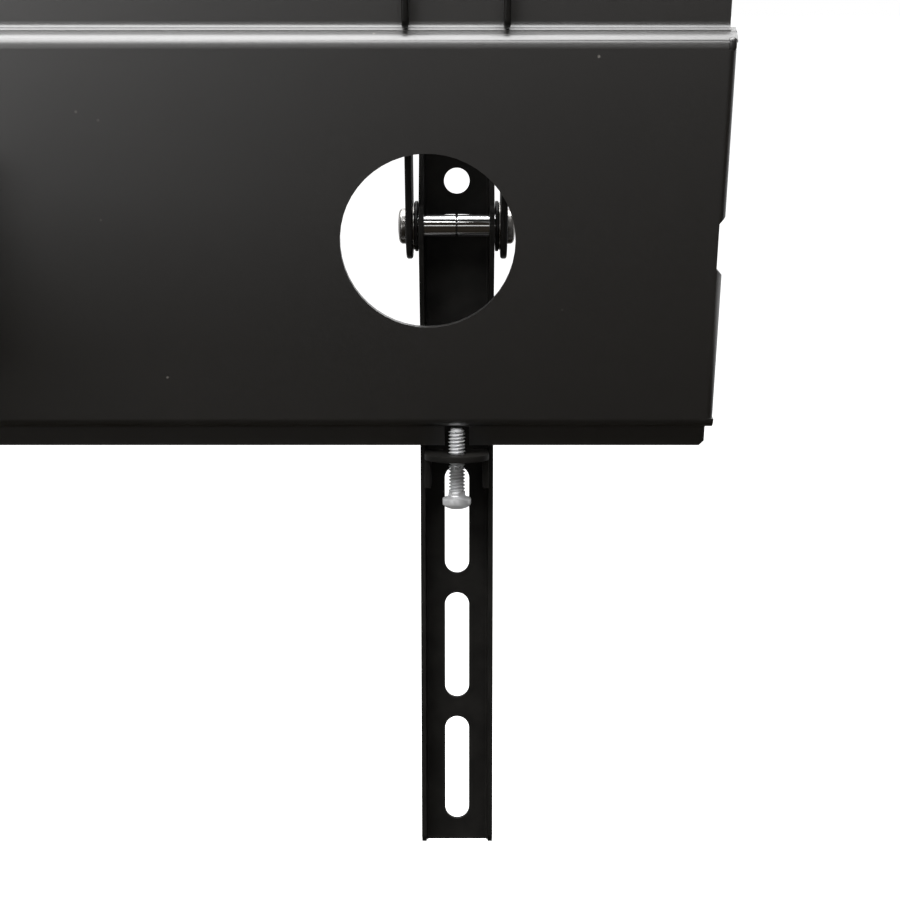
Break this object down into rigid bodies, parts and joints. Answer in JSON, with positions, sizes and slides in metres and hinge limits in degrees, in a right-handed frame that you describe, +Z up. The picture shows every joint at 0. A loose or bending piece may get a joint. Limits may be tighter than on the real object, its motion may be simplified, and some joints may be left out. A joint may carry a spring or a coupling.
{
  "type": "swivel tv wall mount",
  "caption": "Articulated wall arm with a wide folded head plate, two hook-on tilting rails for a television, and lock screws below.",
  "frame": {"origin": "centre of the wall plate's back face", "axes": "+Z up, +Y into the wall, the television hangs on the -Y side, +X to the right seen from the television"},
  "size_m": [0.591, 0.5247, 0.4714],
  "materials": {
    "arm_black": "black powder coat, fine texture",
    "plate_black": "black powder coat, satin",
    "rail_black": "black powder coat, satin",
    "pivot_chrome": "bright plated",
    "washer_steel": "turned",
    "screw_zinc": "bright zinc plated",
    "bolt_zinc": "zinc plated",
    "bush_nylon": "moulded nylon"
  },
  "bodies": {
    "wall": {"wall_plate": "arm_black", "wall_bracket": "arm_black", "wall_pin": "bolt_zinc", "wall_nut": "bolt_zinc"},
    "rear_arm": {"wall_bushes": "bush_nylon", "rear_arm": "arm_black", "elbow_pin": "bolt_zinc", "elbow_nut": "bolt_zinc"},
    "front_arm": {"elbow_bushes": "bush_nylon", "front_arm": "arm_black", "head_bushes": "bush_nylon"},
    "head": {"head_pin": "bolt_zinc", "head_nut": "bolt_zinc", "head_bracket": "arm_black", "head_bolts": "bolt_zinc", "head_nuts": "bolt_zinc", "head_plate": "plate_black", "hook_bracket_left": "rail_black", "sleeve_outer_left": "pivot_chrome", "sleeve_inner_left": "pivot_chrome", "pivot_washers_left": "washer_steel", "hook_bracket_right": "rail_black", "sleeve_outer_right": "pivot_chrome", "sleeve_inner_right": "pivot_chrome", "pivot_washers_right": "washer_steel"},
    "rail_left": {"tv_rail_left": "rail_black", "lock_bracket_left": "rail_black"},
    "lock_screw_left": {"lock_screw_left": "screw_zinc"},
    "rail_right": {"tv_rail_right": "rail_black", "lock_bracket_right": "rail_black"},
    "lock_screw_right": {"lock_screw_right": "screw_zinc"}
  },
  "joints": [
    {"name": "wall_swivel", "type": "hinge", "parent": "wall", "child": "rear_arm", "pos_m": [0, -0.045, 0], "axis": [0, 0, 1], "range_deg": [-123, 47]},
    {"name": "elbow", "type": "hinge", "parent": "rear_arm", "child": "front_arm", "pos_m": [0.13545, -0.21836, 0], "axis": [0, 0, 1], "range_deg": [-40, 76]},
    {"name": "head_swivel", "type": "hinge", "parent": "front_arm", "child": "head", "pos_m": [0, -0.39172, 0], "axis": [0, 0, 1], "range_deg": [-60, 50]},
    {"name": "tilt_left", "type": "hinge", "parent": "head", "child": "rail_left", "pos_m": [0.2, -0.4553, 0], "axis": [1, 0, 0], "range_deg": [-18.5, 0]},
    {"name": "lock_travel_left", "type": "slide", "parent": "rail_left", "child": "lock_screw_left", "axis": [0, -0.2334, 0.9724], "range_m": [-0.009, 0]},
    {"name": "tilt_right", "type": "hinge", "parent": "head", "child": "rail_right", "pos_m": [-0.2, -0.4553, 0], "axis": [1, 0, 0], "range_deg": [-18.5, 0]},
    {"name": "lock_travel_right", "type": "slide", "parent": "rail_right", "child": "lock_screw_right", "axis": [0, -0.2334, 0.9724], "range_m": [-0.009, 0]}
  ]
}
